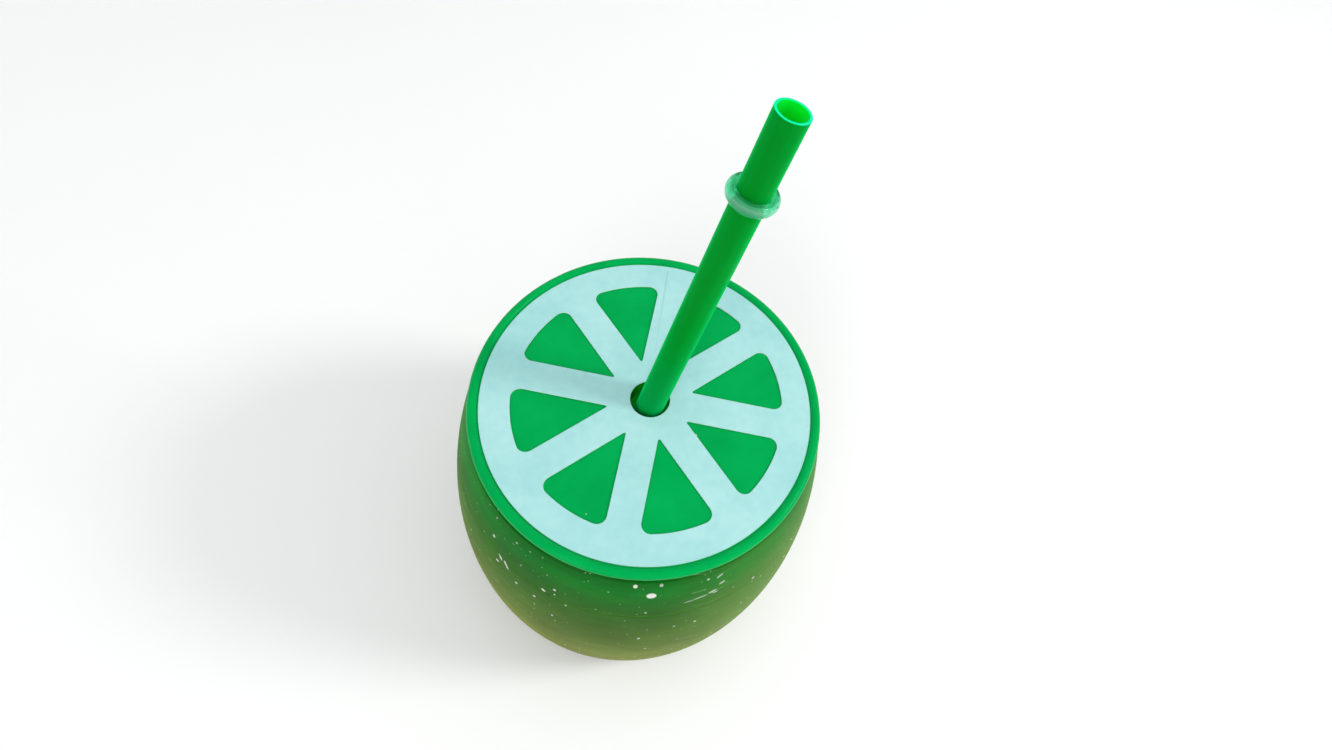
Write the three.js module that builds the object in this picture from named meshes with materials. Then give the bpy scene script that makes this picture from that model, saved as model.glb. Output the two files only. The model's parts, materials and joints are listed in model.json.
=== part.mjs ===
// A round drinking cup with a push-fit lid, a citrus-slice top label, a leaning straw and its stop ring.
// Millimetres, +Z up. The origin is the middle of the flat base, on the surface that the cup stands on.
// The cup, the lid, its label and its seal are bodies of revolution about Z. The straw leans through the
// hole in the middle of the lid, with its foot just above the cup's floor.
import * as THREE from 'three';

const degrees = Math.PI / 180;

// Cup: both shells share one barrel-shaped side, an arc in section.
const bellyRadius = 51.6;
const bellyHeight = 43;
const sideArcRadius = 190;
const wall = 2.4;
const baseCornerRadius = 12;
const seamHeight = 77.5;
const cupTop = 95;
const mouthRadius = 42;
const mouthDepth = 8;
const lipCornerRadius = 0.8;

// Lap joint at the seam: the upper shell's tongue stands inside the lower shell's rebate.
const lapDepth = 3;
const lapRadius = 47.2;
const partGap = 0.3;

// Lid: a recessed plate with a rounded rim bead above the cup's lip, and a plug wall in the mouth.
const labelTop = 97.5;
const labelThickness = 0.3;
const labelRadius = 41.4;
const plateThickness = 2;
const beadRadius = 1.3;
const beadCentreRadius = 42.9;
const beadCentreBelowLabel = 0.8;
const holeRadius = 5;
const holeBossRadius = 6.8;
const holeBossDepth = 3.2;
const plugRadius = 40.4;
const plugWall = 1.6;
const plugBottom = 88;
const plugChamfer = 0.5;
const grooveDepth = 1;
const grooveBottom = 90.3;
const grooveHeight = 2.6;

// Seal: a soft ring with two lips, in the plug's groove.
const sealLipRadius = mouthRadius - partGap;
const sealLipReach = 0.6;

// Label: eight citrus segments are windows in a thin disc, with straight spokes between them.
const segmentCount = 8;
const segmentPhase = 20.3 * degrees;
const spokeHalfWidth = 4;
const segmentOuterRadius = 34.1;
const segmentCornerRadius = 2.3;

// Straw and stop ring, along the straw's own axis. Distances run from the label's top face.
const strawRadius = 3.5;
const strawWall = 0.55;
const strawLean = 12.1 * degrees;
const strawAzimuth = 41.5 * degrees;
const strawOffset = [0.6, -0.3];
const strawAbove = 90.7;
const strawFootGap = 0.5;
const ringAbove = 71.5;
const ringRadius = 5.4;
const ringBoreRadius = strawRadius + 0.15;
const ringHeight = 3.3;

// Facets round each kind of piece.
const largeFacets = 64;
const strawFacets = 24;
const ringFacets = 40;

// Looks. Scene colours only: every piece is moulded plastic but for the soft seal.
const cupGreen = new THREE.MeshStandardMaterial({ color: 0x3f7030, roughness: 0.22, metalness: 0 });
const lidGreen = new THREE.MeshStandardMaterial({ color: 0x05b058, roughness: 0.25, metalness: 0 });
const mintLabel = new THREE.MeshStandardMaterial({ color: 0xb0e8e6, roughness: 0.35, metalness: 0 });
const sealWhite = new THREE.MeshStandardMaterial({ color: 0xd5dcd6, roughness: 0.6, metalness: 0 });
const strawGreen = new THREE.MeshStandardMaterial({ color: 0x00a032, roughness: 0.2, metalness: 0 });
const ringMint = new THREE.MeshStandardMaterial({ color: 0x9be6c6, roughness: 0.2, metalness: 0 });

// Points on an arc in the plane of a profile, both ends included, as [radius, height] pairs.
function arc(centre, radius, from, to, steps) {
  const points = [];
  for (let i = 0; i <= steps; i += 1) {
    const angle = from + ((to - from) * i) / steps;
    points.push([centre[0] + radius * Math.cos(angle), centre[1] + radius * Math.sin(angle)]);
  }
  return points;
}

// A closed body from a profile of [radius, height] pairs that runs upward on its outside.
function revolve(profile, facets) {
  const points = profile.map(([radius, height]) => new THREE.Vector2(radius, height));
  const geometry = new THREE.LatheGeometry(points, facets);
  geometry.rotateX(Math.PI / 2);
  return geometry;
}

function named(name, geometry, material) {
  const mesh = new THREE.Mesh(geometry, material);
  mesh.name = name;
  return mesh;
}

// The barrel side: its arc's centre, its angle at a height, and the angle where the base corner begins.
const sideCentre = [bellyRadius - sideArcRadius, bellyHeight];

function sideAngle(height, inset) {
  return Math.asin((height - bellyHeight) / (sideArcRadius - inset));
}

const cornerReach = sideArcRadius - baseCornerRadius;
const cornerDrop = bellyHeight - baseCornerRadius;
const cornerAngle = -Math.asin(cornerDrop / cornerReach);
const cornerCentre = [sideCentre[0] + Math.sqrt(cornerReach ** 2 - cornerDrop ** 2), baseCornerRadius];

// The bowl of the cup, with a flat base and a rebate inside its top edge for the upper shell's tongue.
function cupLowerShell() {
  const outerSide = sideArcRadius;
  const innerSide = sideArcRadius - wall;
  const rebateFloor = seamHeight - lapDepth;
  const profile = [
    [0, 0],
    ...arc(cornerCentre, baseCornerRadius, -90 * degrees, cornerAngle, 6),
    ...arc(sideCentre, outerSide, cornerAngle, sideAngle(seamHeight, 0), 7).slice(1),
    [lapRadius + partGap, seamHeight],
    [lapRadius + partGap, rebateFloor],
    ...arc(sideCentre, innerSide, sideAngle(rebateFloor, wall), cornerAngle, 6),
    ...arc(cornerCentre, baseCornerRadius - wall, cornerAngle, -90 * degrees, 5).slice(1),
    [0, wall],
  ];
  return named('cup_lower_shell', revolve(profile, largeFacets), cupGreen);
}

// The shoulder of the cup: from the seam up to the lip, with the mouth that takes the lid's plug.
function cupUpperShell() {
  const tongueFoot = seamHeight - lapDepth + partGap;
  const mouthFoot = cupTop - mouthDepth;
  const funnelFoot = mouthFoot - 3.5;
  const lipCentre = [sideCentre[0] + sideArcRadius * Math.cos(sideAngle(cupTop, 0)) - lipCornerRadius,
    cupTop - lipCornerRadius];
  const outerArc = arc(sideCentre, sideArcRadius, sideAngle(seamHeight, 0), sideAngle(lipCentre[1], 0), 4);
  const innerArc = arc(sideCentre, sideArcRadius - wall, sideAngle(funnelFoot, wall),
    sideAngle(tongueFoot, wall), 3);
  const profile = [
    [lapRadius, tongueFoot],
    [lapRadius, seamHeight],
    ...outerArc,
    ...arc(lipCentre, lipCornerRadius, 25 * degrees, 90 * degrees, 3),
    [mouthRadius + partGap, cupTop],
    [mouthRadius, cupTop - partGap],
    [mouthRadius, mouthFoot],
    ...innerArc,
    [lapRadius, tongueFoot],
  ];
  return named('cup_upper_shell', revolve(profile, largeFacets), cupGreen);
}

// The lid: plate with the straw hole and its boss, rim bead, and the plug wall with the seal's groove.
function lid() {
  const plateTop = labelTop - labelThickness;
  const plateUnder = plateTop - plateThickness;
  const beadCentre = [beadCentreRadius, labelTop - beadCentreBelowLabel];
  const beadStart = Math.PI - Math.asin((plateTop - beadCentre[1]) / beadRadius);
  const grooveTop = grooveBottom + grooveHeight;
  const profile = [
    [holeRadius, plateUnder - holeBossDepth],
    [holeBossRadius, plateUnder - holeBossDepth],
    [holeBossRadius, plateUnder],
    [plugRadius - plugWall, plateUnder],
    [plugRadius - plugWall, plugBottom],
    [plugRadius - plugChamfer, plugBottom],
    [plugRadius, plugBottom + plugChamfer],
    [plugRadius, grooveBottom],
    [plugRadius - grooveDepth, grooveBottom],
    [plugRadius - grooveDepth, grooveTop],
    [plugRadius, grooveTop],
    [plugRadius, cupTop],
    [beadCentreRadius + 0.4, cupTop],
    ...arc(beadCentre, beadRadius, -60 * degrees, beadStart, 11),
    [holeRadius, plateTop],
    [holeRadius, plateUnder - holeBossDepth],
  ];
  return named('lid', revolve(profile, largeFacets), lidGreen);
}

// The outline of one citrus segment: a pointed tip, straight sides along the spokes, a round back.
function segmentOutline(turn) {
  const half = Math.PI / segmentCount;
  const tip = spokeHalfWidth / Math.sin(half);
  const cornerDistance = segmentOuterRadius - segmentCornerRadius;
  const cornerTurn = half - Math.asin((spokeHalfWidth + segmentCornerRadius) / cornerDistance);
  const lower = [cornerDistance * Math.cos(cornerTurn), -cornerDistance * Math.sin(cornerTurn)];
  const upper = [lower[0], -lower[1]];
  const outline = [
    [tip, 0],
    ...arc(lower, segmentCornerRadius, -half - Math.PI / 2, -cornerTurn, 4),
    ...arc([0, 0], segmentOuterRadius, -cornerTurn, cornerTurn, 4).slice(1),
    ...arc(upper, segmentCornerRadius, cornerTurn, half + Math.PI / 2, 4).slice(1),
  ];
  return outline.map(([x, y]) => new THREE.Vector2(x, y).rotateAround(new THREE.Vector2(), turn));
}

// The label: a thin disc on the lid's plate, with the straw hole and the segment windows cut through.
function lidLabel() {
  const disc = new THREE.Shape(new THREE.Path().absarc(0, 0, labelRadius, 0, 2 * Math.PI).getPoints(32));
  disc.holes.push(new THREE.Path(new THREE.Path().absarc(0, 0, holeRadius, 0, 2 * Math.PI).getPoints(16)));
  for (let i = 0; i < segmentCount; i += 1) {
    const turn = segmentPhase + (2 * Math.PI * i) / segmentCount;
    disc.holes.push(new THREE.Path(segmentOutline(turn)));
  }
  const geometry = new THREE.ExtrudeGeometry(disc, { depth: labelThickness, bevelEnabled: false });
  const mesh = named('lid_label', geometry, mintLabel);
  mesh.position.z = labelTop - labelThickness;
  return mesh;
}

// The seal: a soft ring with two lips that bear on the mouth of the cup.
function lidSeal() {
  const foot = grooveBottom + partGap;
  const top = grooveBottom + grooveHeight - partGap;
  const lipPitch = (top - foot) / 4;
  const inner = plugRadius - grooveDepth + partGap;
  const root = sealLipRadius - sealLipReach;
  const profile = [
    [inner, foot],
    [root, foot],
    [sealLipRadius, foot + lipPitch],
    [root, foot + 2 * lipPitch],
    [sealLipRadius, foot + 3 * lipPitch],
    [root, top],
    [inner, top],
    [inner, foot],
  ];
  return named('lid_seal', revolve(profile, largeFacets), sealWhite);
}

// The straw: a plain tube, cut square at both ends. Its zero is where its axis meets the label's top.
function strawTube() {
  const floorGap = strawFootGap + strawRadius * Math.sin(strawLean);
  const below = (labelTop - wall - floorGap) / Math.cos(strawLean);
  const profile = [
    [strawRadius - strawWall, -below],
    [strawRadius, -below],
    [strawRadius, strawAbove],
    [strawRadius - strawWall, strawAbove],
    [strawRadius - strawWall, -below],
  ];
  return named('straw_tube', revolve(profile, strawFacets), strawGreen);
}

// The stop ring: a soft collar on the straw, wider than the lid's hole, with a rounded flange.
function stopRing() {
  const half = ringHeight / 2;
  const profile = [
    [ringBoreRadius, -half],
    [ringRadius - 0.9, -half],
    [ringRadius - 0.3, -half + 0.7],
    [ringRadius, -0.2],
    [ringRadius - 0.1, half - 0.8],
    [ringRadius - 0.6, half - 0.2],
    [ringRadius - 1.2, half],
    [ringBoreRadius, half],
    [ringBoreRadius, -half],
  ];
  const mesh = named('stop_ring', revolve(profile, ringFacets), ringMint);
  mesh.position.z = ringAbove;
  return mesh;
}

// The straw and its ring share one leaning group.
function strawGroup() {
  const group = new THREE.Group();
  const direction = new THREE.Vector3(
    Math.sin(strawLean) * Math.cos(strawAzimuth),
    Math.sin(strawLean) * Math.sin(strawAzimuth),
    Math.cos(strawLean),
  );
  group.quaternion.setFromUnitVectors(new THREE.Vector3(0, 0, 1), direction);
  group.position.set(strawOffset[0], strawOffset[1], labelTop);
  group.add(strawTube(), stopRing());
  return group;
}

const drinkingCup = new THREE.Group();
drinkingCup.add(cupLowerShell(), cupUpperShell(), lid(), lidLabel(), lidSeal(), strawGroup());

export default drinkingCup;
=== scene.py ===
"""A round drinking cup with a push-fit lid, a citrus-slice label, a leaning straw and its stop ring.

Every piece is a fine mesh that stands in the place of its CAD node. Places and main sizes come from the
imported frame; the smaller shape numbers are named here, in metres.
"""

import json
import math

import bpy
from mathutils import Matrix, Vector


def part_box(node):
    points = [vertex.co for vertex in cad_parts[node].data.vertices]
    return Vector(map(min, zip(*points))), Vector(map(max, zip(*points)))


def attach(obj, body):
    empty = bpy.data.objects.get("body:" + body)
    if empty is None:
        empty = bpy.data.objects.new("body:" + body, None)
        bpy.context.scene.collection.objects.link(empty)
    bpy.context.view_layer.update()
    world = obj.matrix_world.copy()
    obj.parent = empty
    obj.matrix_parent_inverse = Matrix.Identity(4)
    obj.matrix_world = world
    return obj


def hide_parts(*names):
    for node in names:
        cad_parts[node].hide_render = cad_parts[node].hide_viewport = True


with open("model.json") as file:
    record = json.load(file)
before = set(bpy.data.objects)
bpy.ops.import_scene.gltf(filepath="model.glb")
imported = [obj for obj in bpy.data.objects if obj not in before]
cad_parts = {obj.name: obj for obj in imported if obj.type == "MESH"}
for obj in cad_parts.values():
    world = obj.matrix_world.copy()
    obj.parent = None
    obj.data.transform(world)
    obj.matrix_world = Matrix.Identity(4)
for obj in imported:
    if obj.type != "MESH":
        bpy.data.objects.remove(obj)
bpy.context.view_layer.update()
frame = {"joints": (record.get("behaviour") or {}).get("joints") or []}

MM = 0.001

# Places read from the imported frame.
CUP_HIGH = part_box("cup_lower_shell")[1]
LIP_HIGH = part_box("cup_upper_shell")[1]
LID_LOW, LID_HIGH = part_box("lid")
LABEL_LOW, LABEL_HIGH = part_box("lid_label")
SEAL_LOW, SEAL_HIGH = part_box("lid_seal")
STRAW_LOW, STRAW_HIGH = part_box("straw_tube")
RING_LOW, RING_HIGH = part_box("stop_ring")
STRAW_AXIS = Vector(next(j["axis"] for j in frame["joints"] if j["name"] == "straw_slide")).normalized()

# Cup section: one arc makes the side of both shells.
SEAM_Z = CUP_HIGH.z
LIP_Z = LIP_HIGH.z
BELLY_RADIUS = CUP_HIGH.x
BELLY_Z = 43 * MM
SIDE_ARC = 190 * MM
WALL = 2.4 * MM
BASE_CORNER = 12 * MM
MOUTH_RADIUS = 42 * MM
MOUTH_FOOT_Z = LIP_Z - 8 * MM
FUNNEL_FOOT_Z = LIP_Z - 11.5 * MM
LAP_RADIUS = 47.2 * MM
LAP_DEPTH = 3 * MM
LAP_GAP = 0.3 * MM

# Lid section.
LABEL_TOP = LABEL_HIGH.z
PLATE_TOP = LABEL_LOW.z
PLATE_UNDER = PLATE_TOP - 2 * MM
BEAD_RADIUS = 1.3 * MM
BEAD_CENTRE = Vector((LID_HIGH.x - BEAD_RADIUS, LID_HIGH.z - BEAD_RADIUS))
HOLE_RADIUS = 5 * MM
BOSS_RADIUS = 6.8 * MM
BOSS_DEPTH = 3.2 * MM
PLUG_RADIUS = 40.4 * MM
PLUG_WALL = 1.6 * MM
GROOVE_DEPTH = 1 * MM
GROOVE_LOW = SEAL_LOW.z - LAP_GAP
GROOVE_HIGH = SEAL_HIGH.z + LAP_GAP

# Label pattern.
LABEL_RADIUS = LABEL_HIGH.x
SEGMENTS = 8
SEGMENT_PHASE = math.radians(20.3)
SPOKE_HALF = 4 * MM
SEGMENT_OUTER = 34.1 * MM
SEGMENT_CORNER = 2.3 * MM
SEGMENT_TIP = 0.35 * MM

# Straw and ring, along the straw's axis. The straw's colour turns bluer over its last stretch above the lid.
STRAW_RADIUS = 3.5 * MM
STRAW_WALL = 0.55 * MM
RING_RADIUS = 5.4 * MM
RING_BORE = 3.65 * MM
RING_HALF = 1.65 * MM
RING_EDGE = 0.6 * MM
STRAW_BLUER = 32 * MM
STRAW_MIDDLE = (STRAW_LOW + STRAW_HIGH) / 2
STRAW_SINE = math.hypot(STRAW_AXIS.x, STRAW_AXIS.y)
STRAW_AT_LID = (LABEL_TOP - STRAW_MIDDLE.z) / STRAW_AXIS.z
STRAW_HALF = ((STRAW_HIGH.z - STRAW_LOW.z) / 2 - STRAW_RADIUS * STRAW_SINE) / STRAW_AXIS.z

# How finely round pieces are divided, and the turn between faces that still shades as smooth.
ROUND_STEPS = 192
SMALL_STEPS = 96
SMOOTH_ANGLE = math.radians(40)
ON_AXIS = 1e-9


# ---------------------------------------------------------------- mesh helpers

def arc(centre, radius, start, end, steps):
    """Points on an arc of a profile, both ends included, as (radius, height) pairs."""
    turns = [start + (end - start) * i / steps for i in range(steps + 1)]
    return [(centre[0] + radius * math.cos(t), centre[1] + radius * math.sin(t)) for t in turns]


def fillet(before, corner, after, radius, steps=5):
    """Points that round one corner of a profile."""
    corner = Vector(corner)
    to_before = (Vector(before) - corner).normalized()
    to_after = (Vector(after) - corner).normalized()
    half = to_before.angle(to_after) / 2
    reach = radius / math.tan(half)
    centre = corner + (to_before + to_after).normalized() * radius / math.sin(half)
    first = corner + to_before * reach - centre
    last = corner + to_after * reach - centre
    sweep = first.angle_signed(last)
    points = []
    for i in range(steps + 1):
        turned = first.copy()
        turned.rotate(Matrix.Rotation(-sweep * i / steps, 2))
        points.append(tuple(centre + turned))
    return points


def rounded(corners):
    """A closed profile from (radius, height, corner radius) triples; plain pairs are kept as they are."""
    profile = []
    for i, corner in enumerate(corners):
        if len(corner) == 2:
            profile.append(tuple(corner))
            continue
        before = corners[i - 1][:2]
        after = corners[(i + 1) % len(corners)][:2]
        profile.extend(fillet(before, corner[:2], after, corner[2]))
    return profile


def smooth_piece(name, mesh, material, large_faces):
    """An object from a mesh, smooth but for its sharp edges. large_faces weighs them in the shading."""
    mesh.polygons.foreach_set("use_smooth", [True] * len(mesh.polygons))
    mesh.set_sharp_from_angle(angle=SMOOTH_ANGLE)
    mesh.materials.clear()
    mesh.materials.append(material)
    piece = bpy.data.objects.new(name, mesh)
    bpy.context.scene.collection.objects.link(piece)
    weighted = piece.modifiers.new("even shading", "WEIGHTED_NORMAL")
    weighted.keep_sharp = True
    weighted.weight = large_faces
    return piece


def revolve(name, profile, steps, material):
    """A closed body of revolution about Z. Profile points on the axis become one shared vertex."""
    vertices = []
    rings = []
    for radius, height in profile:
        if radius < ON_AXIS:
            rings.append([len(vertices)] * steps)
            vertices.append((0, 0, height))
            continue
        rings.append(list(range(len(vertices), len(vertices) + steps)))
        for i in range(steps):
            turn = 2 * math.pi * i / steps
            vertices.append((radius * math.cos(turn), radius * math.sin(turn), height))
    open_at_axis = profile[0][0] < ON_AXIS
    following = rings[1:] if open_at_axis else rings[1:] + rings[:1]
    faces = []
    for lower, upper in zip(rings, following):
        for i in range(steps):
            j = (i + 1) % steps
            corners = [lower[i], lower[j], upper[j], upper[i]]
            faces.append(tuple(dict.fromkeys(corners)))
    mesh = bpy.data.meshes.new(name)
    mesh.from_pydata(vertices, [], faces)
    mesh.validate()
    return smooth_piece(name, mesh, material, large_faces=80)


# ---------------------------------------------------------------- material helpers
# Lengths are in metres. The scales of noises and cells are per metre.

class Nodes:
    """A material's node tree, with short calls for the nodes used here. Sockets are passed as links."""

    def __init__(self, name):
        self.material = bpy.data.materials.new(name)
        self.material.use_nodes = True
        self.tree = self.material.node_tree
        self.shader = self.tree.nodes["Principled BSDF"]

    def add(self, kind, **settings):
        node = self.tree.nodes.new(kind)
        for key, value in settings.items():
            setattr(node, key, value)
        return node

    def feed(self, socket, value):
        """Links an output to an input, or sets the input's own value."""
        if isinstance(value, bpy.types.NodeSocket):
            self.tree.links.new(value, socket)
        else:
            socket.default_value = value

    def place(self, scale=(1, 1, 1), turn=(0, 0, 0)):
        """Object coordinates, scaled and turned."""
        mapping = self.add("ShaderNodeMapping")
        self.feed(mapping.inputs["Vector"], self.add("ShaderNodeTexCoord").outputs["Object"])
        mapping.inputs["Scale"].default_value = scale
        mapping.inputs["Rotation"].default_value = turn
        return mapping.outputs["Vector"]

    def parts(self):
        """Object coordinates as three separate numbers."""
        split = self.add("ShaderNodeSeparateXYZ")
        self.feed(split.inputs[0], self.place())
        return split.outputs

    def radius(self):
        """Distance from the object's own Z axis."""
        x, y, _ = self.parts()
        return self.math("SQRT", self.math("ADD", self.math("POWER", x, 2), self.math("POWER", y, 2)))

    def faces(self, point):
        """1 where the surface faces a point of the object's own space, and 0 where it faces away."""
        away = self.add("ShaderNodeVectorMath", operation="SUBTRACT")
        self.feed(away.inputs[0], self.place())
        away.inputs[1].default_value = point
        dot = self.add("ShaderNodeVectorMath", operation="DOT_PRODUCT")
        self.feed(dot.inputs[0], away.outputs["Vector"])
        self.feed(dot.inputs[1], self.add("ShaderNodeTexCoord").outputs["Normal"])
        return self.math("LESS_THAN", dot.outputs["Value"], 0.0)

    def math(self, operation, a, b=0.0):
        node = self.add("ShaderNodeMath", operation=operation)
        self.feed(node.inputs[0], a)
        self.feed(node.inputs[1], b)
        return node.outputs[0]

    def noise(self, vector, scale, detail=3.0, roughness=0.5, distortion=0.0):
        node = self.add("ShaderNodeTexNoise")
        self.feed(node.inputs["Vector"], vector)
        node.inputs["Scale"].default_value = scale
        node.inputs["Detail"].default_value = detail
        node.inputs["Roughness"].default_value = roughness
        node.inputs["Distortion"].default_value = distortion
        return node.outputs["Fac"]

    def cells(self, vector, scale):
        """Voronoi cells: the distance to a cell's point, and the cell's random colour."""
        node = self.add("ShaderNodeTexVoronoi")
        self.feed(node.inputs["Vector"], vector)
        node.inputs["Scale"].default_value = scale
        return node.outputs["Distance"], node.outputs["Color"]

    def span(self, value, low, high, to_low=0.0, to_high=1.0, smooth=False):
        """A value stretched from one range to another, and held inside it."""
        node = self.add("ShaderNodeMapRange")
        node.interpolation_type = "SMOOTHSTEP" if smooth else "LINEAR"
        for socket, number in zip(node.inputs[:5], (value, low, high, to_low, to_high)):
            self.feed(socket, number)
        return node.outputs["Result"]

    def ramp(self, value, stops):
        node = self.add("ShaderNodeValToRGB")
        elements = node.color_ramp.elements
        while len(elements) < len(stops):
            elements.new(0.5)
        for element, (position, colour) in zip(elements, stops):
            element.position = position
            element.color = (*colour, 1)
        self.feed(node.inputs["Fac"], value)
        return node.outputs["Color"]

    def mix(self, amount, a, b, blend="MIX"):
        node = self.add("ShaderNodeMix", data_type="RGBA", blend_type=blend)
        self.feed(node.inputs[0], amount)
        for socket, value in ((node.inputs[6], a), (node.inputs[7], b)):
            self.feed(socket, value if isinstance(value, bpy.types.NodeSocket) else (*value, 1))
        return node.outputs[2]

    def bump(self, height, strength, distance):
        node = self.add("ShaderNodeBump")
        node.inputs["Strength"].default_value = strength
        node.inputs["Distance"].default_value = distance
        self.feed(node.inputs["Height"], height)
        self.feed(self.shader.inputs["Normal"], node.outputs["Normal"])

    def set(self, **values):
        """Sets the shader's inputs. An underscore in a key stands for a space."""
        for key, value in values.items():
            self.feed(self.shader.inputs[key.replace("_", " ")], value)


def specks(n, scale, share, size, stretch=(1, 1, 1)):
    """A mask of scattered flecks. A share of the cells holds one each, of its own size."""
    distance, colour = n.cells(n.place(stretch), scale)
    split = n.add("ShaderNodeSeparateColor")
    n.feed(split.inputs[0], colour)
    chosen = n.math("LESS_THAN", split.outputs[0], share)
    reach = n.math("MULTIPLY", n.math("POWER", split.outputs[1], 2.0), size)
    reach = n.math("ADD", reach, size * 0.15)
    inside = n.span(n.math("DIVIDE", distance, reach), 1.0, 0.55, smooth=True)
    return n.math("MULTIPLY", inside, chosen)


def scratches(n, scale, turn, width, patchy):
    """A mask of fine broken lines: thin bands of a stretched noise, kept only in patches."""
    lines = n.noise(n.place((1, 1, 9), turn), scale, detail=2, distortion=0.4)
    band = n.math("ABSOLUTE", n.math("SUBTRACT", lines, 0.5))
    thin = n.span(band, width, width * 0.3)
    where = n.span(n.noise(n.place((1, 1, 1), turn), scale * 0.8, detail=1), patchy, patchy + 0.06)
    return n.math("MULTIPLY", thin, where)


def spot(n, turn, height, half_width, half_height, tilt=0.0):
    """A mask of one oval mark on the cup's side, at a turn round the front and a height."""
    x, y, z = n.parts()
    round_turn = n.math("ARCTAN2", x, n.math("MULTIPLY", y, -1))
    across = n.math("MULTIPLY", n.math("SUBTRACT", round_turn, math.radians(turn)), BELLY_RADIUS)
    up = n.math("SUBTRACT", z, height)
    c = math.cos(math.radians(tilt))
    s = math.sin(math.radians(tilt))
    along = n.math("ADD", n.math("MULTIPLY", across, c), n.math("MULTIPLY", up, s))
    cross = n.math("SUBTRACT", n.math("MULTIPLY", up, c), n.math("MULTIPLY", across, s))
    a = n.math("POWER", n.math("DIVIDE", along, half_width), 2)
    b = n.math("POWER", n.math("DIVIDE", cross, half_height), 2)
    return n.span(n.math("ADD", a, b), 1.15, 0.75, smooth=True)


def window_edge_shade(n):
    """A mask of the narrow band just inside each of the label's windows, on top of the lid's plate, where
    shade at the label's step is painted.
    """
    x, y, z = n.parts()
    radius = n.radius()
    slice_turn = 2 * math.pi / SEGMENTS
    turn = n.math("SUBTRACT", n.math("ARCTAN2", y, x), SEGMENT_PHASE - slice_turn / 2)
    turn = n.math("SUBTRACT", n.math("FLOORED_MODULO", turn, slice_turn), slice_turn / 2)
    from_middle = n.math("ABSOLUTE", turn)
    from_side = n.math("MULTIPLY", radius, n.math("SINE", n.math("SUBTRACT", slice_turn / 2, from_middle)))
    from_side = n.math("SUBTRACT", from_side, SPOKE_HALF)
    from_back = n.math("SUBTRACT", SEGMENT_OUTER, radius)
    band = n.span(n.math("MINIMUM", from_side, from_back), 0.7 * MM, 0.15 * MM, smooth=True)
    on_top = n.math("GREATER_THAN", z, PLATE_TOP - 0.1 * MM)
    under_label = n.math("LESS_THAN", radius, SEGMENT_OUTER + 0.5 * MM)
    return n.math("MULTIPLY", band, n.math("MULTIPLY", on_top, under_label))


def painted_lit_side(n):
    """A mask of the side of the cup that is painted lighter, to the right of its front and less near the
    lip: painted light for bright ground reflected on that side.
    """
    x, y, z = n.parts()
    along_x = n.math("MULTIPLY", x, math.sin(LIT_SIDE_TURN))
    along_y = n.math("MULTIPLY", y, -math.cos(LIT_SIDE_TURN))
    toward = n.math("DIVIDE", n.math("ADD", along_x, along_y), n.radius())
    share = n.span(z, LIP_Z - 4 * MM, LIP_Z - 18 * MM, 0.20, 0.5, smooth=True)
    return n.math("MULTIPLY", n.span(toward, 0.5, 1.0, smooth=True), share)


# ---------------------------------------------------------------- materials

# The turn from the front to the middle of the cup's painted lighter side, and that side's colour, a painted
# reflection of bright ground.
LIT_SIDE_TURN = math.radians(70)
LIT_SIDE_GREEN = (0.10, 0.24, 0.035)

# Light that comes through the translucent wall, seen on the inside.
INSIDE_GLOW = (0.0005, 0.085, 0.004)

# The cup's colours from foot to lip, at shares of its height. The olive towards the foot is a painted warm
# reflection of a table, and the darker last stop at the lip is painted shade under the lid's bead.
CUP_COLOURS = (
    (0.0, (0.165, 0.155, 0.026)),
    (0.35, (0.120, 0.155, 0.018)),
    (0.62, (0.062, 0.124, 0.010)),
    (0.84, (0.018, 0.110, 0.007)),
    (0.95, (0.0008, 0.155, 0.010)),
    (1.0, (0.0003, 0.12, 0.005)),
)

# The cup's flecks, scuffs and scratches.
FLECK_COLOUR = (0.72, 0.72, 0.66)

# The hairline on the label: how far left of the middle it starts, its slope, and where it ends at the back.
HAIRLINE_LEFT = 0.65 * MM
HAIRLINE_SLOPE = 0.0125
HAIRLINE_END = 40 * MM

# How far from a cut edge its painted pale edge light reaches.
CUT_DEPTH = 0.08 * MM
LABEL_CUT_DEPTH = 0.03 * MM

# Marks on the cup's side: turn from the front in degrees, height, half width, half height, tilt, strength.
MARKS = (
    (10.0, 89.0 * MM, 1.3 * MM, 1.2 * MM, 0, 0.95),
    (5.0, 93.3 * MM, 0.6 * MM, 0.8 * MM, 0, 0.85),
    (12.5, 93.6 * MM, 0.5 * MM, 0.7 * MM, 0, 0.5),
    (21.5, 83.2 * MM, 1.5 * MM, 0.20 * MM, 6, 0.45),
    (25.0, 83.7 * MM, 1.9 * MM, 0.26 * MM, 6, 0.55),
    (28.6, 84.6 * MM, 1.2 * MM, 0.40 * MM, 18, 0.60),
    (29.5, 83.7 * MM, 0.8 * MM, 0.35 * MM, 5, 0.45),
    (31.5, 87.3 * MM, 1.0 * MM, 0.40 * MM, 20, 0.50),
    (30.5, 91.2 * MM, 1.1 * MM, 0.35 * MM, 30, 0.50),
    (-37.0, 77.5 * MM, 0.40 * MM, 1.2 * MM, 35, 0.75),
    (-34.5, 76.5 * MM, 0.40 * MM, 1.7 * MM, 35, 0.75),
    (-38.0, 74.0 * MM, 0.60 * MM, 0.45 * MM, 0, 0.8),
    (-21.0, 78.5 * MM, 0.70 * MM, 0.45 * MM, -35, 0.8),
    (-41.0, 84.0 * MM, 0.50 * MM, 0.60 * MM, 0, 0.7),
)


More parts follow.
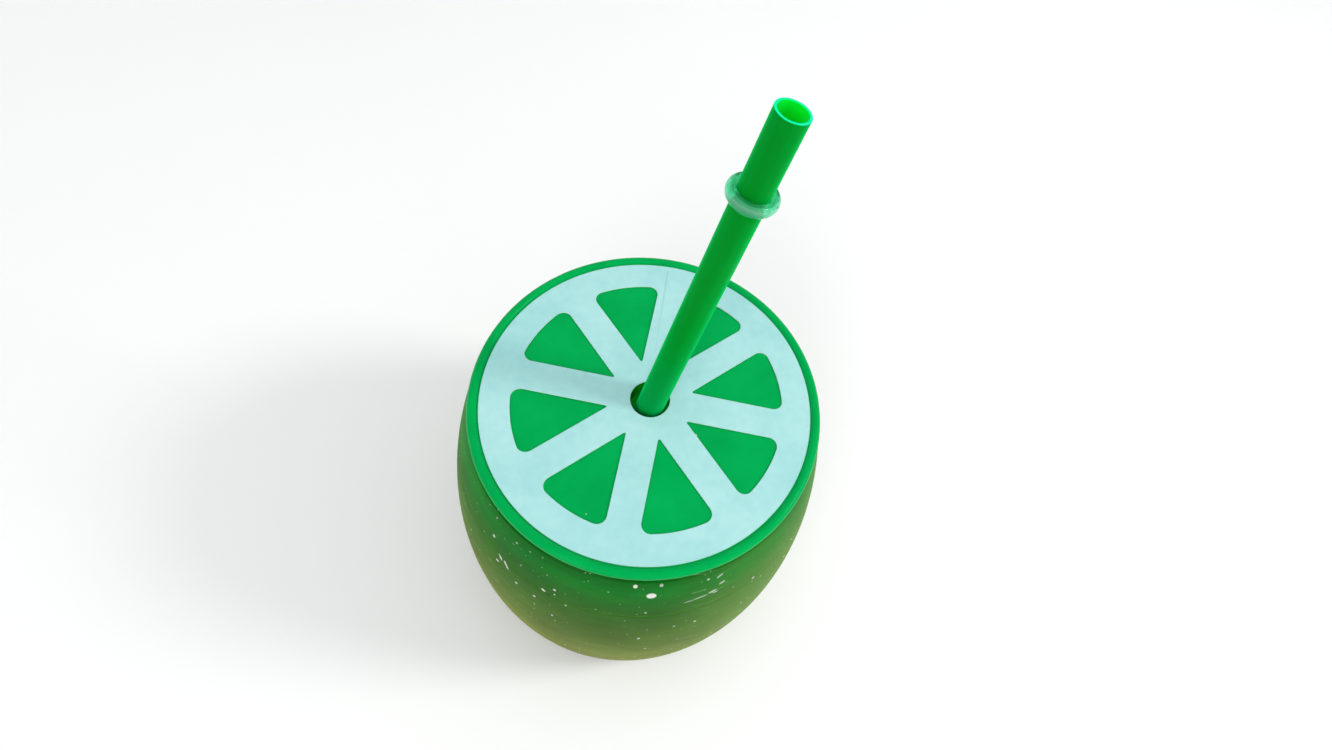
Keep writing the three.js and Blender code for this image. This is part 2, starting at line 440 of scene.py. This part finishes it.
def cup_plastic():
    """Green plastic that turns olive towards the foot as a painted warm reflection, with pale flecks, scuffs
    and scratches.

    One side is painted lighter as a reflection of bright ground, and the inner faces glow faintly with
    painted light, as a translucent wall does.
    """
    n = Nodes("cup green plastic")
    height = n.span(n.parts()[2], 0, LIP_Z)
    # Painted reflection and shade: olive towards the foot for a warm table reflected, darker at the lip for
    # the shade under the lid's bead.
    body = n.ramp(height, CUP_COLOURS)
    cloud = n.span(n.noise(n.place(), 38, detail=4), 0.35, 0.65, 0.86, 1.14)
    streaks = n.span(n.noise(n.place((1, 1, 4), (0.12, 0.08, 0)), 90, detail=4), 0.35, 0.65, 0.92, 1.08)
    shade = n.math("MULTIPLY", cloud, streaks)
    body = n.mix(1.0, body, n.ramp(n.span(shade, 0, 2), ((0, (0, 0, 0)), (1, (2, 2, 2)))), "MULTIPLY")
    # Painted reflection: one side is lighter, where bright ground would be reflected.
    body = n.mix(painted_lit_side(n), body, LIT_SIDE_GREEN)
    marks = n.math("MULTIPLY", specks(n, 400, 0.38, 0.20, (1, 1, 0.8)), 0.8)
    marks = n.math("MAXIMUM", marks, n.math("MULTIPLY", specks(n, 900, 0.30, 0.19), 0.5))
    scratched = n.math("MULTIPLY", scratches(n, 34, (0.3, 0.5, 0.2), 0.004, 0.62), 0.25)
    marks = n.math("MAXIMUM", marks, scratched)
    for turn, z, half_width, half_height, tilt, strength in MARKS:
        mark = n.math("MULTIPLY", spot(n, turn, z, half_width, half_height, tilt), strength)
        marks = n.math("MAXIMUM", marks, mark)
    n.set(Base_Color=n.mix(marks, body, FLECK_COLOUR))
    wear = n.noise(n.place(), 90, detail=5)
    n.set(Roughness=n.math("ADD", n.span(wear, 0.3, 0.7, 0.14, 0.26), n.math("MULTIPLY", marks, 0.3)))
    n.set(Specular_IOR_Level=0, Coat_Weight=0.14, Coat_Roughness=0.14)
    n.set(Sheen_Weight=0.05, Sheen_Roughness=0.25, Sheen_Tint=(0.8, 1, 0.35, 1))
    n.set(Emission_Color=n.mix(n.faces((0, 0, LIP_Z / 2)), (0, 0, 0), INSIDE_GLOW), Emission_Strength=1)
    n.set(Subsurface_Weight=0.5, Subsurface_Radius=(0.5, 1.0, 0.25), Subsurface_Scale=3 * MM)
    n.bump(n.math("ADD", n.noise(n.place(), 220, detail=2), n.math("MULTIPLY", marks, 0.6)), 0.12, 0.0004)
    return n.material


def lid_plastic():
    """Bright green plastic with faint blotches and a few pale flecks.

    It is painted darker beside the label's windows, as shade at the label's step, and darker and yellower on
    the hole's wall and the bead's foot, as painted shade in the hole and under the bead.
    """
    n = Nodes("lid green plastic")
    cloud = n.noise(n.place(), 70, detail=4, roughness=0.6)
    body = n.ramp(cloud, (
        (0.3, (0.0005, 0.335, 0.071)),
        (0.5, (0.0005, 0.37, 0.079)),
        (0.7, (0.001, 0.405, 0.088)),
    ))
    # Painted shade: a darker green in a narrow band beside each label window, where the label's step shades
    # the plate.
    body = n.mix(n.math("MULTIPLY", window_edge_shade(n), 0.3), body, (0.0003, 0.21, 0.030))
    # Painted shade: the hole's wall is darker and yellower, as the shade inside the hole.
    body = n.mix(n.math("LESS_THAN", n.radius(), HOLE_RADIUS + 0.25 * MM), body, (0.003, 0.30, 0.008))
    # Painted shade: the bead's lower outer side is darker and yellower, as the shade under the bead.
    outer_half = n.math("GREATER_THAN", n.radius(), BEAD_CENTRE.x)
    foot = n.span(n.parts()[2], BEAD_CENTRE.y + 0.9 * MM, BEAD_CENTRE.y - 0.6 * MM, smooth=True)
    body = n.mix(n.math("MULTIPLY", n.math("MULTIPLY", foot, outer_half), 0.85), body, (0.0005, 0.17, 0.012))
    marks = n.math("MULTIPLY", specks(n, 400, 0.04, 0.18), 0.7)
    n.set(Base_Color=n.mix(marks, body, (0.80, 0.86, 0.80)))
    n.set(Roughness=n.span(n.noise(n.place(), 120, detail=5), 0.3, 0.7, 0.16, 0.28))
    n.set(Specular_IOR_Level=0.06, Specular_Tint=(0.02, 1, 0.45, 1), Coat_Weight=0.03, Coat_Roughness=0.12)
    n.set(Subsurface_Weight=0.3, Subsurface_Radius=(0.1, 1.0, 0.3), Subsurface_Scale=2 * MM)
    n.bump(n.noise(n.place(), 260, detail=2), 0.08, 0.0003)
    return n.material


def label_film():
    """Pale mint satin film, mottled, with faint scratches, a hairline at the back, and a pale cut edge,
    painted light on its side faces.
    """
    n = Nodes("mint label film")
    broad = n.math("MULTIPLY", n.noise(n.place(), 55, detail=5, roughness=0.6), 0.7)
    fine = n.math("MULTIPLY", n.noise(n.place(), 420, detail=3), 0.3)
    body = n.ramp(n.math("ADD", broad, fine), (
        (0.36, (0.325, 0.65, 0.65)),
        (0.5, (0.375, 0.69, 0.69)),
        (0.64, (0.425, 0.73, 0.73)),
    ))
    faint = n.math("MULTIPLY", scratches(n, 26, (0.2, 1.2, 0.6), 0.004, 0.62), 0.25)
    x, y, z = n.parts()
    from_line = n.math("ADD", n.math("ADD", x, n.math("MULTIPLY", y, HAIRLINE_SLOPE)), HAIRLINE_LEFT)
    hairline = n.span(n.math("ABSOLUTE", from_line), 0.38 * MM, 0.12 * MM)
    along = n.math("MULTIPLY", n.span(y, 10 * MM, 34 * MM), n.math("LESS_THAN", y, HAIRLINE_END))
    hairline = n.math("MULTIPLY", n.math("MULTIPLY", hairline, along), 0.5)
    body = n.mix(hairline, body, (0.22, 0.55, 0.52))
    # Painted light: the label's side faces are a pale mint, which keeps them from reading as a dark shaded
    # outline.
    body = n.mix(n.math("LESS_THAN", z, LABEL_TOP - LABEL_CUT_DEPTH), body, (0.80, 0.96, 0.96))
    n.set(Base_Color=n.mix(faint, body, (0.85, 0.97, 0.97)))
    n.set(Roughness=n.span(n.noise(n.place(), 140, detail=4), 0.3, 0.7, 0.30, 0.42))
    n.set(Specular_IOR_Level=0.3)
    n.bump(n.noise(n.place(), 300, detail=2), 0.06, 0.0002)
    return n.material


def seal_rubber():
    """Milky soft silicone with a fine matte grain."""
    n = Nodes("milky silicone")
    cloud = n.noise(n.place(), 90, detail=4)
    n.set(Base_Color=n.ramp(cloud, ((0.3, (0.60, 0.66, 0.62)), (0.7, (0.72, 0.77, 0.73)))))
    n.set(Roughness=n.span(n.noise(n.place(), 400, detail=3), 0.3, 0.7, 0.5, 0.65))
    n.bump(n.noise(n.place(), 1500, detail=2), 0.1, 0.0001)
    return n.material


def straw_plastic():
    """Translucent green tube, bluer near the lid: faint drawing lines, and a brighter inside and pale cut
    edges that are painted light shining through the wall.
    """
    n = Nodes("straw green plastic")
    z = n.parts()[2]
    draw = n.noise(n.place((1, 1, 0.02)), 900, detail=2)
    body = n.ramp(draw, ((0.3, (0.0003, 0.232, 0.012)), (0.7, (0.0003, 0.258, 0.016))))
    low = n.span(z, STRAW_AT_LID + STRAW_BLUER, STRAW_AT_LID, smooth=True)
    body = n.mix(low, body, (0.0003, 0.275, 0.045))
    # Painted light: the inner wall is a brighter green, standing for light that comes through the
    # translucent wall.
    inside = n.math("LESS_THAN", n.radius(), STRAW_RADIUS - 0.7 * STRAW_WALL)
    body = n.mix(inside, body, (0.0005, 0.80, 0.03))
    # Painted light: the cut ends are a pale bright green, standing for light caught in the wall's edge.
    cut = n.math("GREATER_THAN", n.math("ABSOLUTE", z), STRAW_HALF - CUT_DEPTH)
    n.set(Base_Color=n.mix(cut, body, (0.006, 0.80, 0.38)))
    n.set(Roughness=n.span(n.noise(n.place((1, 1, 0.2)), 300, detail=4), 0.3, 0.7, 0.16, 0.26))
    n.set(Specular_IOR_Level=0, Coat_Weight=0.04, Coat_Roughness=0.15)
    n.set(Sheen_Weight=0.75, Sheen_Roughness=0.4, Sheen_Tint=(0.01, 1, 0.30, 1))
    n.set(Subsurface_Weight=0.7, Subsurface_Radius=(0.05, 1.0, 0.2), Subsurface_Scale=1.5 * MM)
    n.bump(draw, 0.03, 0.0001)
    return n.material


def ring_plastic():
    """Clear soft mint plastic with a painted highlight line round it, greener near its bore, where the straw
    shows.
    """
    n = Nodes("clear mint plastic")
    cloud = n.noise(n.place(), 300, detail=3)
    rim = n.ramp(cloud, ((0.3, (0.13, 0.90, 0.48)), (0.7, (0.28, 0.96, 0.64))))
    outward = n.span(n.radius(), RING_BORE + 0.6 * MM, RING_RADIUS - 0.1 * MM, smooth=True)
    body = n.mix(outward, (0.01, 0.55, 0.18), rim)
    # Painted highlight: a pale line along the flange's ridge.
    from_edge = n.math("ABSOLUTE", n.math("SUBTRACT", n.parts()[2], RING_EDGE))
    pale = n.math("MULTIPLY", n.span(from_edge, 0.45 * MM, 0.15 * MM, smooth=True), outward)
    n.set(Base_Color=n.mix(n.math("MULTIPLY", pale, 0.6), body, (0.62, 1, 0.86)))
    n.set(Roughness=n.span(n.noise(n.place(), 500, detail=3), 0.3, 0.7, 0.06, 0.14))
    n.set(Transmission_Weight=0.75, IOR=1.15, Coat_Weight=0.4, Coat_Roughness=0.08)
    n.bump(n.noise(n.place(), 400, detail=2), 0.08, 0.0002)
    return n.material


def floor_surface():
    """Plain pale studio floor and wall."""
    n = Nodes("pale studio floor")
    cloud = n.noise(n.place(), 3, detail=2)
    n.set(Base_Color=n.ramp(cloud, ((0.3, (0.94, 0.94, 0.94)), (0.7, (0.96, 0.96, 0.96)))))
    n.set(Roughness=0.8)
    n.set(Specular_IOR_Level=0.1)
    return n.material


# ---------------------------------------------------------------- the pieces

SIDE_CENTRE = (BELLY_RADIUS - SIDE_ARC, BELLY_Z)
CORNER_ANGLE = -math.asin((BELLY_Z - BASE_CORNER) / (SIDE_ARC - BASE_CORNER))
CORNER_CENTRE = (
    SIDE_CENTRE[0] + (SIDE_ARC - BASE_CORNER) * math.cos(CORNER_ANGLE),
    BASE_CORNER,
)


def side_angle(height, inset=0.0):
    return math.asin((height - BELLY_Z) / (SIDE_ARC - inset))


def side_radius(height, inset=0.0):
    return SIDE_CENTRE[0] + (SIDE_ARC - inset) * math.cos(side_angle(height, inset))


def cup_lower(material):
    """The bowl, with a softened edge at the seam and a rebate inside it."""
    rebate = SEAM_Z - LAP_DEPTH
    edge = 0.28 * MM
    seam_edge = fillet(
        (side_radius(SEAM_Z - MM), SEAM_Z - MM), (side_radius(SEAM_Z), SEAM_Z), (0, SEAM_Z), edge)
    profile = [
        (0, 0),
        *arc(CORNER_CENTRE, BASE_CORNER, -math.pi / 2, CORNER_ANGLE, 20),
        *arc(SIDE_CENTRE, SIDE_ARC, CORNER_ANGLE, side_angle(SEAM_Z - 1.5 * edge), 40)[1:],
        *seam_edge,
        (LAP_RADIUS + LAP_GAP, SEAM_Z),
        (LAP_RADIUS + LAP_GAP, rebate),
        *arc(SIDE_CENTRE, SIDE_ARC - WALL, side_angle(rebate, WALL), CORNER_ANGLE, 30),
        *arc(CORNER_CENTRE, BASE_CORNER - WALL, CORNER_ANGLE, -math.pi / 2, 16)[1:],
        (0, WALL),
    ]
    return revolve("cup_bowl", profile, ROUND_STEPS, material)


def cup_upper(material):
    """The shoulder, from a rounded edge at the seam to the rounded lip."""
    tongue = SEAM_Z - LAP_DEPTH + LAP_GAP
    edge = 0.34 * MM
    lip = 0.8 * MM
    lip_radius = side_radius(LIP_Z)
    seam_edge = fillet(
        (0, SEAM_Z), (side_radius(SEAM_Z), SEAM_Z), (side_radius(SEAM_Z + MM), SEAM_Z + MM), edge)
    funnel_foot = (side_radius(FUNNEL_FOOT_Z, WALL), FUNNEL_FOOT_Z)
    profile = [
        (LAP_RADIUS, tongue),
        (LAP_RADIUS, SEAM_Z),
        *seam_edge,
        *arc(SIDE_CENTRE, SIDE_ARC, side_angle(SEAM_Z + 1.5 * edge), side_angle(LIP_Z - 1.6 * lip), 16),
        *fillet((side_radius(LIP_Z - MM), LIP_Z - MM), (lip_radius, LIP_Z), (MOUTH_RADIUS, LIP_Z), lip, 8),
        *fillet((lip_radius, LIP_Z), (MOUTH_RADIUS, LIP_Z), (MOUTH_RADIUS, MOUTH_FOOT_Z), 0.3 * MM),
        *fillet((MOUTH_RADIUS, LIP_Z), (MOUTH_RADIUS, MOUTH_FOOT_Z), funnel_foot, 1.5 * MM),
        *arc(SIDE_CENTRE, SIDE_ARC - WALL, side_angle(FUNNEL_FOOT_Z, WALL), side_angle(tongue, WALL), 8),
    ]
    return revolve("cup_shoulder", profile, ROUND_STEPS, material)


def lid_cap(material):
    """Recessed plate, rim bead, hole boss, and plug wall with the seal's groove."""
    bead_start = math.pi - math.asin((PLATE_TOP - BEAD_CENTRE.y) / BEAD_RADIUS)
    small = 0.2 * MM
    corners = [
        (HOLE_RADIUS, PLATE_UNDER - BOSS_DEPTH, small),
        (BOSS_RADIUS, PLATE_UNDER - BOSS_DEPTH, 2 * small),
        (BOSS_RADIUS, PLATE_UNDER, 3 * small),
        (PLUG_RADIUS - PLUG_WALL, PLATE_UNDER, 4 * small),
        (PLUG_RADIUS - PLUG_WALL, LID_LOW.z, small),
        (PLUG_RADIUS, LID_LOW.z, 3 * small),
        (PLUG_RADIUS, GROOVE_LOW, small),
        (PLUG_RADIUS - GROOVE_DEPTH, GROOVE_LOW, small),
        (PLUG_RADIUS - GROOVE_DEPTH, GROOVE_HIGH, small),
        (PLUG_RADIUS, GROOVE_HIGH, small),
        (PLUG_RADIUS, LIP_Z, small),
        (BEAD_CENTRE.x + 0.4 * MM, LIP_Z, small),
        *arc(BEAD_CENTRE, BEAD_RADIUS, math.radians(-60), bead_start, 28),
        (HOLE_RADIUS, PLATE_TOP, small),
    ]
    return revolve("lid_cap", rounded(corners), ROUND_STEPS, material)


def segment_outline(turn):
    """The outline of one citrus segment in the plane: rounded tip, straight sides, round back."""
    half = math.pi / SEGMENTS
    reach = SEGMENT_OUTER - SEGMENT_CORNER
    corner_turn = half - math.asin((SPOKE_HALF + SEGMENT_CORNER) / reach)
    lower = (reach * math.cos(corner_turn), -reach * math.sin(corner_turn))
    upper = (lower[0], -lower[1])
    tip = ((SPOKE_HALF + SEGMENT_TIP) / math.sin(half), 0)
    points = [
        *arc(lower, SEGMENT_CORNER, -half - math.pi / 2, -corner_turn, 10),
        *arc((0, 0), SEGMENT_OUTER, -corner_turn, corner_turn, 18)[1:],
        *arc(upper, SEGMENT_CORNER, corner_turn, half + math.pi / 2, 10)[1:],
        *arc(tip, SEGMENT_TIP, half + math.pi / 2, 1.5 * math.pi - half, 8),
    ]
    c = math.cos(turn)
    s = math.sin(turn)
    return [(x * c - y * s, x * s + y * c) for x, y in points]


def lid_label(material):
    """The label disc: a filled flat curve with a hole and eight windows, thin, with a soft edge."""
    edge = 0.06 * MM
    thickness = LABEL_TOP - PLATE_TOP
    curve = bpy.data.curves.new("lid_label", "CURVE")
    curve.dimensions = "2D"
    curve.fill_mode = "BOTH"
    curve.extrude = thickness / 2 - edge
    curve.bevel_depth = edge
    curve.bevel_resolution = 2
    curve.offset = -edge
    outlines = [
        arc((0, 0), LABEL_RADIUS, 0, 2 * math.pi, ROUND_STEPS)[:-1],
        arc((0, 0), HOLE_RADIUS, 0, 2 * math.pi, SMALL_STEPS)[:-1],
    ]
    for i in range(SEGMENTS):
        outlines.append(segment_outline(SEGMENT_PHASE + 2 * math.pi * i / SEGMENTS))
    for outline in outlines:
        spline = curve.splines.new("POLY")
        spline.points.add(len(outline) - 1)
        for point, (x, y) in zip(spline.points, outline):
            point.co = (x, y, 0, 1)
        spline.use_cyclic_u = True
    flat = bpy.data.objects.new("label outline", curve)
    bpy.context.scene.collection.objects.link(flat)
    mesh = bpy.data.meshes.new_from_object(flat.evaluated_get(bpy.context.evaluated_depsgraph_get()))
    bpy.data.objects.remove(flat)
    mesh.transform(Matrix.Translation((0, 0, (LABEL_TOP + PLATE_TOP) / 2)))
    return smooth_piece("slice_label", mesh, material, large_faces=50)


def seal_ring(material):
    """The two-lipped seal."""
    low = SEAL_LOW.z
    high = SEAL_HIGH.z
    outer = SEAL_HIGH.x
    inner = PLUG_RADIUS - GROOVE_DEPTH + LAP_GAP
    root = outer - 0.6 * MM
    pitch = (high - low) / 4
    tip = 0.12 * MM
    corners = [
        (inner, low, tip),
        (root, low, tip),
        (outer, low + pitch, tip),
        (root, low + 2 * pitch, tip),
        (outer, low + 3 * pitch, tip),
        (root, high, tip),
        (inner, high, tip),
    ]
    return revolve("silicone_seal", rounded(corners), ROUND_STEPS, material)


def lean(piece, middle):
    """Lays a piece made about Z along the straw's axis, about a point on it."""
    piece.rotation_mode = "QUATERNION"
    piece.rotation_quaternion = Vector((0, 0, 1)).rotation_difference(STRAW_AXIS)
    piece.location = middle
    return piece


def straw(material):
    """The tube, with slightly broken edges at its cut ends."""
    inner = STRAW_RADIUS - STRAW_WALL
    edge = 0.12 * MM
    corners = [
        (inner, -STRAW_HALF, edge),
        (STRAW_RADIUS, -STRAW_HALF, edge),
        (STRAW_RADIUS, STRAW_HALF, edge),
        (inner, STRAW_HALF, edge),
    ]
    return lean(revolve("drinking_straw", rounded(corners), SMALL_STEPS, material), STRAW_MIDDLE)


def ring(material):
    """The collar: a hub round the straw, a groove, a rounded flange and a tapered foot."""
    corners = [
        (RING_BORE, -RING_HALF, 0.15 * MM),
        (RING_RADIUS - 0.95 * MM, -RING_HALF, 0.3 * MM),
        (RING_RADIUS - 0.25 * MM, -RING_HALF + 0.9 * MM, 0.3 * MM),
        (RING_RADIUS, 0.1 * MM, 0.5 * MM),
        (RING_RADIUS - 0.15 * MM, RING_HALF - 0.7 * MM, 0.4 * MM),
        (RING_RADIUS - 0.7 * MM, RING_HALF, 0.25 * MM),
        (RING_BORE + 0.7 * MM, RING_HALF - 0.75 * MM, 0.2 * MM),
        (RING_BORE + 0.35 * MM, RING_HALF - 0.25 * MM, 0.12 * MM),
        (RING_BORE, RING_HALF - 0.25 * MM, 0.08 * MM),
    ]
    middle = (RING_LOW + RING_HIGH) / 2
    return lean(revolve("straw_stop_ring", rounded(corners), SMALL_STEPS, material), middle)


def build_pieces():
    """Makes each piece, attaches it to its body and hides the CAD node it stands for; the plan lists the
    node, body and finish of each piece.
    """
    cup = cup_plastic()
    plan = (
        (cup_lower(cup), "cup_lower_shell", "cup", "cup_body"),
        (cup_upper(cup), "cup_upper_shell", "cup", "cup_body"),
        (lid_cap(lid_plastic()), "lid", "lid", "lid_plastic"),
        (lid_label(label_film()), "lid_label", "lid", "label_film"),
        (seal_ring(seal_rubber()), "lid_seal", "seal", "seal_rubber"),
        (straw(straw_plastic()), "straw_tube", "straw", "straw_plastic"),
        (ring(ring_plastic()), "stop_ring", "stop_ring", "ring_plastic"),
    )
    for piece, node, body, slot in plan:
        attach(piece, body)
        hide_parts(node)


# ---------------------------------------------------------------- studio

STAGE_RADIUS = 0.9
STAGE_CURVE = 0.45
STAGE_HEIGHT = 1.1
STAGE_THICK = 0.01
KEY_PLACE = (0.62, 0.02, 0.62)
FILL_PLACE = (-0.25, -0.75, 0.65)
SKY_COLOUR = (0.97, 1, 1, 1)
SKY_STRENGTH = 0.76


def studio_floor():
    """A round pale floor that curves up into a low wall, open at the top."""
    turn = arc((STAGE_RADIUS, STAGE_CURVE), STAGE_CURVE, -math.pi / 2, 0, 24)
    back = arc((STAGE_RADIUS, STAGE_CURVE), STAGE_CURVE + STAGE_THICK, 0, -math.pi / 2, 24)
    profile = [
        (0, 0),
        *turn,
        (turn[-1][0], STAGE_HEIGHT),
        (back[0][0], STAGE_HEIGHT),
        *back,
        (0, -STAGE_THICK),
    ]
    stage = revolve("studio_floor", profile, SMALL_STEPS, floor_surface())


def soft_light(name, place, size, power, colour=(1, 1, 1)):
    """A round area light that points at the middle of the label."""
    data = bpy.data.lights.new(name, "AREA")
    data.shape = "DISK"
    data.size = size
    data.energy = power
    data.color = colour
    light = bpy.data.objects.new(name, data)
    light.location = place
    light.rotation_mode = "QUATERNION"
    light.rotation_quaternion = (Vector((0, 0, LABEL_TOP)) - Vector(place)).to_track_quat("-Z", "Y")
    bpy.context.scene.collection.objects.link(light)


def studio_lights():
    """A small warm key light that casts the straw's shadow, a wide fill, and an even pale sky."""
    soft_light("key from the right", KEY_PLACE, size=0.2, power=2.7, colour=(1, 0.985, 0.97))
    soft_light("front fill", FILL_PLACE, size=0.5, power=2.4)
    world = bpy.data.worlds.new("soft studio")
    world.use_nodes = True
    sky = world.node_tree.nodes["Background"]
    sky.inputs["Color"].default_value = SKY_COLOUR
    sky.inputs["Strength"].default_value = SKY_STRENGTH
    bpy.context.scene.world = world


# The camera looks down on the cup from close in front. Turns are in degrees, lens and sensor in millimetres.
CAMERA_PLACE = Vector((-0.6, -84.72, 270.44)) * MM
CAMERA_TURN = (31.81, -9.505, 5.676)
CAMERA_LENS = 20.48
CAMERA_SHIFT = (-0.0469, -0.0390)
CAMERA_SENSOR = 36


def studio_camera():
    data = bpy.data.cameras.new("camera")
    data.sensor_width = CAMERA_SENSOR
    data.lens = CAMERA_LENS
    data.shift_x, data.shift_y = CAMERA_SHIFT
    data.clip_start = 0.005
    camera = bpy.data.objects.new("camera", data)
    camera.location = CAMERA_PLACE
    camera.rotation_euler = [math.radians(a) for a in CAMERA_TURN]
    bpy.context.scene.collection.objects.link(camera)
    bpy.context.scene.camera = camera


build_pieces()
studio_floor()
studio_lights()
studio_camera()
bpy.context.scene.view_settings.view_transform = "Standard"
